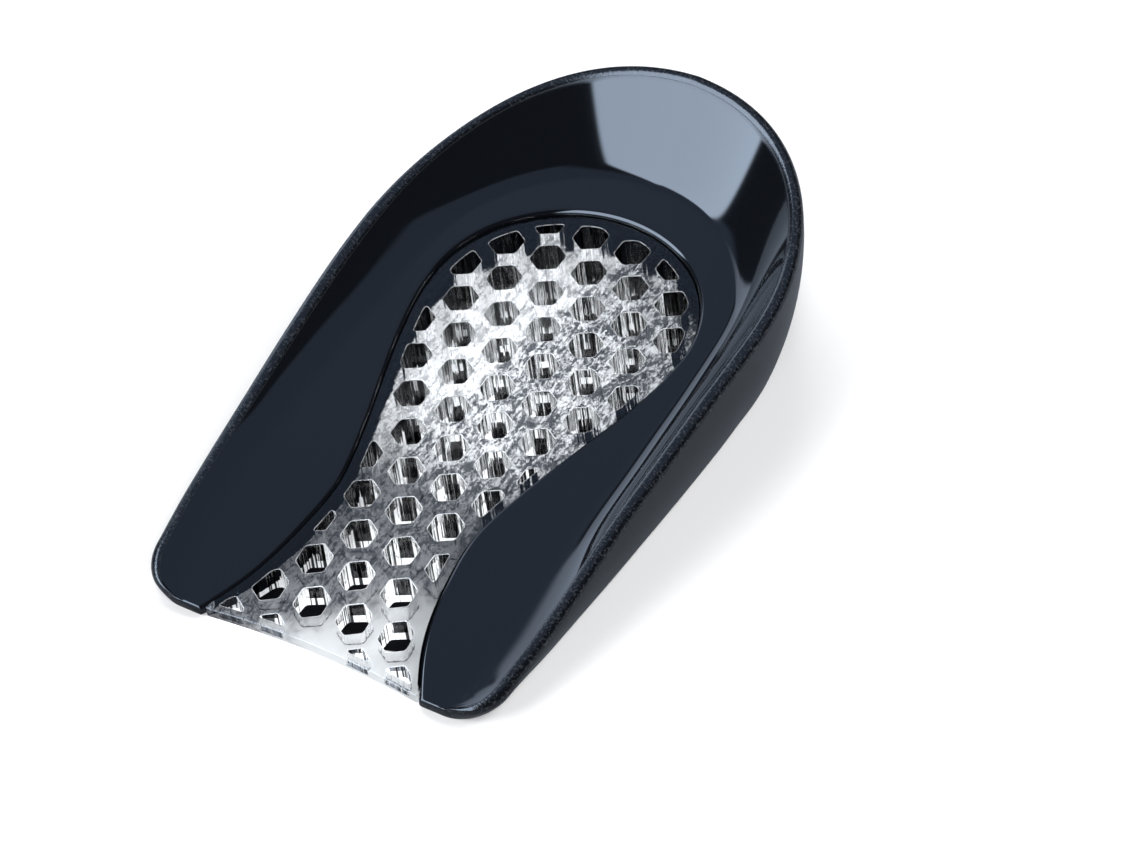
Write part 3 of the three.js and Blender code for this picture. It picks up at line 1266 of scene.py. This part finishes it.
    def build(self) -> bpy.types.Object:
        """Joins the outer wall, the walls of the wells, the top and the underside into one body.

        Returns:
            The pad.
        """
        loop = self.outline()
        outer = self.rounded_wall(loop[None], -1.0, self.rim_round)[0]
        wells = self.rounded_wall(self.wells(loop), 1.0, self.edge_round)
        rings, size = outer.shape[:2]
        count, _, points = wells.shape[:3]
        vertices = np.concatenate([outer.reshape(-1, 3), wells.reshape(-1, 3)])
        outer_faces = strip_faces(rings, size)
        first = rings * size + np.arange(count) * rings * points
        well_faces = (strip_faces(rings, points)[None, :, ::-1] + first[:, None, None]).reshape(-1, 4)
        plan = vertices[:, :2]
        low = [np.arange(size)] + [start + np.arange(points) for start in first]
        high = [(rings - 1) * size + np.arange(size)]
        high += [start + (rings - 1) * points + np.arange(points) for start in first]
        top = self.flat_faces(plan, high)
        under = self.flat_faces(plan, low)[:, ::-1]
        self.piece = make_object("gel_pad", vertices, [outer_faces, well_faces, top, under])
        bare_to = self.plan.front_y + self.front_bow + self.bare_front
        bonded = vertices[outer_faces].mean(axis=1)[:, 1] > bare_to
        rounded = np.repeat(np.arange(rings - 1) >= rings - self.edge_steps, points)
        kinds = np.concatenate([
            np.where(bonded, PadFace.BONDED.value, PadFace.CLEAR.value),
            np.tile(np.where(rounded, PadFace.EDGE.value, PadFace.WALL.value), count),
            np.full(len(top), PadFace.CLEAR.value),
            np.full(len(under), PadFace.UNDERSIDE.value),
        ])
        self.piece.data.polygons.foreach_set("material_index", kinds.astype(np.int32))
        keep_values(self.piece, "margin", np.maximum(-self.edge_distance(plan, loop), 0))
        log.info("gel pad has %d wells", count)
        return self.piece

    def dress(self, finishes: dict[PadFace, GelFinish | BondFinish]) -> None:
        """Gives each kind of face its finish, and the pad its place on the frame.

        Args:
            finishes: The finish of each kind.
        """
        for kind in PadFace:
            self.piece.data.materials.append(finishes[kind].material())
        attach(self.piece, "root")
        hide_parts("gel_honeycomb_pad")


@dataclass(frozen=True)
class PhotoCamera:
    """The photograph's view: a long lens, to the front right and above, rolled with the cup's lean."""

    azimuth: float = math.radians(38.04)
    elevation: float = math.radians(45.07)
    roll: float = math.radians(-7.8)
    distance: float = 854.4 * MM
    target: Way = (13.76 * MM, -5.87 * MM, 9.2 * MM)
    focal_pixels: float = 6000.0
    sensor: float = 36.0
    far: float = 20.0

    def axes(self) -> tuple[Vector, Vector, Vector]:
        """Works the camera's directions out from its angles.

        Returns:
            Right, up and back.
        """
        across, along = math.sin(self.azimuth), math.cos(self.azimuth)
        flat, up = math.cos(self.elevation), math.sin(self.elevation)
        back = Vector((across * flat, -along * flat, up))
        level = Vector((along, across, 0))
        rise = back.cross(level)
        right = level * math.cos(self.roll) + rise * math.sin(self.roll)
        return right, back.cross(right), back

    def build(self) -> bpy.types.Object:
        """Makes the scene's camera.

        Returns:
            The camera.
        """
        data = bpy.data.cameras.new("photo_camera")
        data.sensor_width = self.sensor
        data.lens = self.sensor * self.focal_pixels / PHOTO_SIZE[0]
        data.clip_end = self.far
        item = bpy.data.objects.new("photo_camera", data)
        right, up, back = self.axes()
        place = Matrix((right, up, back)).transposed().to_4x4()
        place.translation = Vector(self.target) + back * self.distance
        item.matrix_world = place
        bpy.context.scene.collection.objects.link(item)
        bpy.context.scene.camera = item
        return item


class Edge(NamedTuple):
    """A straight edge of a far panel: inside is where a direction lies past the start along the normal."""

    normal: Way
    start: float = 0.0
    soft: float = 0.02


class FarPanel(NamedTuple):
    """A glowing panel far from the cup: its colour and the edges that bound it."""

    name: str
    colour: Colour
    edges: tuple[Edge, ...]


@dataclass(frozen=True)
class Studio:
    """Pale floor with soft lamps round it, a dark card of painted shade under the cup, and panels far away
    that the glossy shell mirrors.

    The floor and the card are in millimetres, as the pieces are, and the lamps in metres.
    """

    shade_card_outline: np.ndarray
    # painted shade: the near black of the card under the pad
    shade_card_colour: Colour = (0.004, 0.004, 0.005, 1.0)
    floor_gap: float = 0.3
    floor_half: float = 3000.0
    floor_colour: Colour = (0.9, 0.9, 0.9, 1.0)
    mirrored_floor: Colour = (0.27, 0.3, 0.35, 1.0)
    matt_roughness: float = 0.9
    dark_colour: Colour = (0.035, 0.043, 0.065, 1.0)
    panels: tuple[FarPanel, ...] = (
        FarPanel("dim_sky", (0.34, 0.455, 0.68, 1.0), (
            Edge((-0.62, 0.741, 0.256)),
            Edge((0.25, 0.968, 0.0), -0.2, 0.06),
            Edge((0.0, 0.0, 1.0), 0.56, 0.07),
        )),
        FarPanel("softbox", (7.9, 9.6, 12.1, 1.0), (
            Edge((-0.863, -0.427, -0.269)),
            Edge((0.483, -0.717, 0.502)),
            Edge((-0.555, -0.753, -0.351)),
            Edge((0.0, 0.0, 1.0), 0.2, 0.03),
        )),
        FarPanel("side_strip", (1.5, 1.8, 2.3, 1.0), (
            Edge((-0.426, 0.262, -0.866), 0.05, 0.03),
            Edge((-0.588, -0.809, 0.0)),
            Edge((0.292, 0.956, 0.0), -0.02),
            Edge((0.0, 0.0, 1.0), 0.05, 0.05),
        )),
        FarPanel("tip_lamp", (1.8, 2.15, 2.75, 1.0), (
            Edge((-0.438, -0.899, 0.0)),
            Edge((0.284, 0.959, 0.0)),
            Edge((0.0, 0.0, -1.0), -0.62, 0.1),
            Edge((0.0, 0.0, 1.0), 0.05, 0.05),
        )),
    )
    through: FarPanel = FarPanel("seen_through_gel", (4.5, 4.6, 4.7, 1.0), (
        Edge((-0.62, 0.79, 0.0), 0.05, 0.15),
    ))
    floor_lamps: int = 4
    floor_lamp_reach: float = 1.2
    floor_lamp_height: float = 0.85
    floor_lamp_watts: float = 17.0
    floor_lamp_size: float = 1.0

    def build(self) -> None:
        """Makes the floor, the card of painted shade, the lamps and the sky."""
        self.floor()
        self.card()
        for turn in np.arange(self.floor_lamps) / self.floor_lamps * 2 * math.pi + math.pi / 4:
            place = (self.floor_lamp_reach * math.cos(turn), self.floor_lamp_reach * math.sin(turn),
                     self.floor_lamp_height)
            self.lamp(place)
        self.sky()
        bpy.context.scene.view_settings.view_transform = "Standard"

    def floor(self) -> None:
        """Lays the pale floor, which is darker to reflections than to the eye."""
        half = self.floor_half
        corners = np.array([[-half, -half], [half, -half], [half, half], [-half, half]])
        floor = self.sheet("studio_floor", corners, -self.floor_gap)
        material, board = new_material("pale_floor")
        path = board.add("ShaderNodeLightPath")
        tone = blend(board, path.outputs["Is Glossy Ray"], self.floor_colour, self.mirrored_floor)
        matt(board, tone, self.matt_roughness)
        floor.data.materials.append(material)

    def card(self) -> None:
        """Lays a dark card of painted shade under the cup, hidden by the shell and short of the pad's front
        edge.
        """
        # a dark sheet of painted shade under the pad
        card = self.sheet("painted_shade_card", self.shade_card_outline, -self.floor_gap / 2)
        material, board = new_material("painted_shade_card")
        matt(board, self.shade_card_colour, self.matt_roughness)
        card.data.materials.append(material)

    @staticmethod
    def sheet(name: str, outline: np.ndarray, height: float) -> bpy.types.Object:
        """A flat level face with a plan outline, at a height in millimetres."""
        points = np.concatenate([outline, np.full((len(outline), 1), height)], axis=1)
        return make_object(name, points, [np.arange(len(outline))[None]])

    @staticmethod
    def share(board: NodeBoard, panel: FarPanel) -> Socket:
        """Finds how far inside a far panel a direction is: the product of a soft step at each edge.

        Args:
            board: The sky's nodes.
            panel: The panel.

        Returns:
            The share, from 0 outside to 1 inside.
        """
        look = board.add("ShaderNodeTexCoord").outputs["Generated"]
        found = None
        for edge in panel.edges:
            reach = reach_along(board, look, edge.normal)
            inside = spread(board, reach, edge.start - edge.soft, edge.start + edge.soft)
            found = inside if found is None else combine(board, "MULTIPLY", found, inside)
        return found

    def sky(self) -> None:
        """Makes a dark world with the far panels, and a bright one for rays that come through the gel."""
        world = bpy.data.worlds.new("studio_sky")
        bpy.context.scene.world = world
        world.use_nodes = True
        board = NodeBoard(world.node_tree)
        mirrored = self.dark_colour
        for panel in self.panels:
            mirrored = blend(board, self.share(board, panel), mirrored, panel.colour)
        through = blend(board, self.share(board, self.through), self.dark_colour, self.through.colour)
        path = board.add("ShaderNodeLightPath")
        glossy = blend(board, path.outputs["Is Glossy Ray"], self.dark_colour, mirrored)
        seen = blend(board, path.outputs["Is Transmission Ray"], glossy, through)
        light = board.add("ShaderNodeBackground", None, Color=seen, Strength=1.0)
        board.join(light.outputs["Background"], board.add("ShaderNodeOutputWorld").inputs["Surface"])

    def lamp(self, place: Way) -> None:
        """Makes one square lamp that faces the cup and isn't mirrored in it.

        Args:
            place: Where it stands.
        """
        data = bpy.data.lights.new("floor_lamp", "AREA")
        data.size = self.floor_lamp_size
        data.energy = self.floor_lamp_watts
        item = bpy.data.objects.new("floor_lamp", data)
        item.location = place
        item.rotation_euler = Vector(place).to_track_quat("Z", "Y").to_euler()
        item.visible_glossy = False
        item.visible_transmission = False
        bpy.context.scene.collection.objects.link(item)


def main() -> None:
    """Builds the camera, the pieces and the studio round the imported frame."""
    logging.basicConfig(level=logging.INFO, format="%(name)s: %(message)s")
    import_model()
    PhotoCamera().build()
    plan = CupPlan()
    shell = CupShell(plan)
    shell.build()
    shell.dress(ShellFinish())
    log.info("built %s", shell.piece.name)
    pad = HoneycombPad(plan)
    pad.build()
    pad.dress({PadFace.CLEAR: StreakedTop(), PadFace.BONDED: BondFinish(), PadFace.EDGE: HighlightedEdge(),
               PadFace.UNDERSIDE: TackyUnderside(), PadFace.WALL: FlutedWall()})
    log.info("built %s", pad.piece.name)
    Studio(shade_card_outline=pad.shadow_outline()).build()
    bpy.context.scene.cycles.use_denoising = True


if __name__ == "__main__":
    main()
